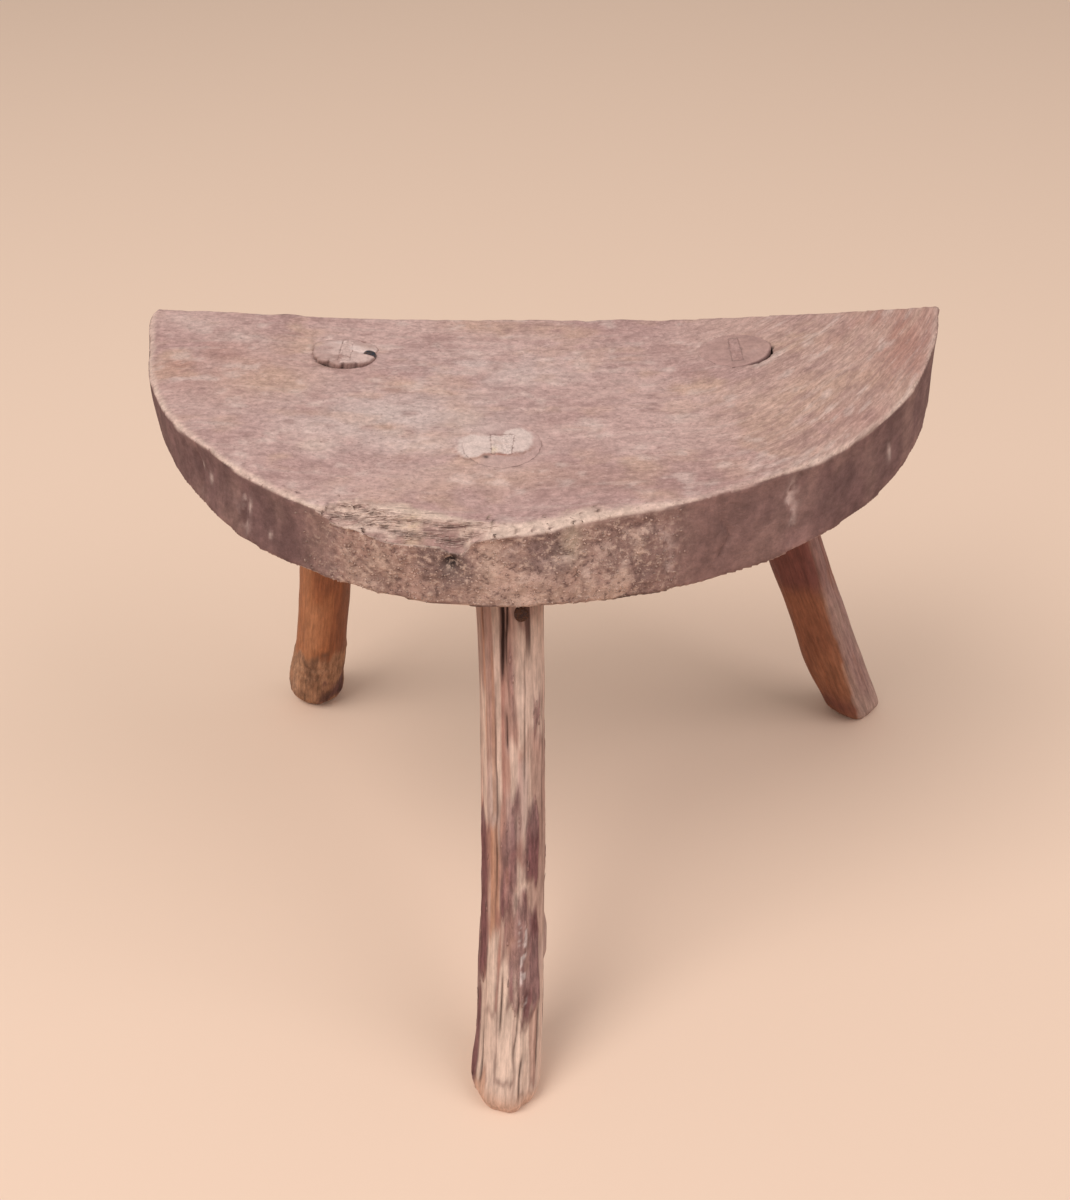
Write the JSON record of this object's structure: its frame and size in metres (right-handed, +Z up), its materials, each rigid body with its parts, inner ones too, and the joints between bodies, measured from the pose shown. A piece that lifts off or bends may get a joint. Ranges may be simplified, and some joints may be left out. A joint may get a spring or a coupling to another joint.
{
  "type": "milking stool",
  "caption": "Low milking stool with a hewn half-round plank seat on splayed stick legs, wedged through the seat.",
  "frame": {"origin": "on the floor, under the middle of the stool's bounding box", "axes": "+Z up; +X to the right along the straight back edge, seen from the front; -Y towards the front leg and the rounded front of the seat"},
  "size_m": [0.3898, 0.3086, 0.2731],
  "materials": {
    "seat_wood": "weathered grey-brown, rough, worn pale along the front edge",
    "stripped_leg_wood": "peeled and weathered, split, with strips of purple-brown bark",
    "bark_leg_wood": "smooth orange-brown bark, rough and grey towards the foot",
    "pale_end_wood": "pale dry end grain",
    "nail_iron": "dark forged iron with rust"
  },
  "bodies": {
    "root": {"seat": "seat_wood", "leg_front": "stripped_leg_wood", "leg_rear_left": "bark_leg_wood", "leg_rear_right": "bark_leg_wood", "wedge_front": "pale_end_wood", "wedge_rear_left": "seat_wood", "wedge_rear_right": "seat_wood", "nail_front": "nail_iron", "nail_rear_left": "nail_iron"}
  },
  "joints": []
}
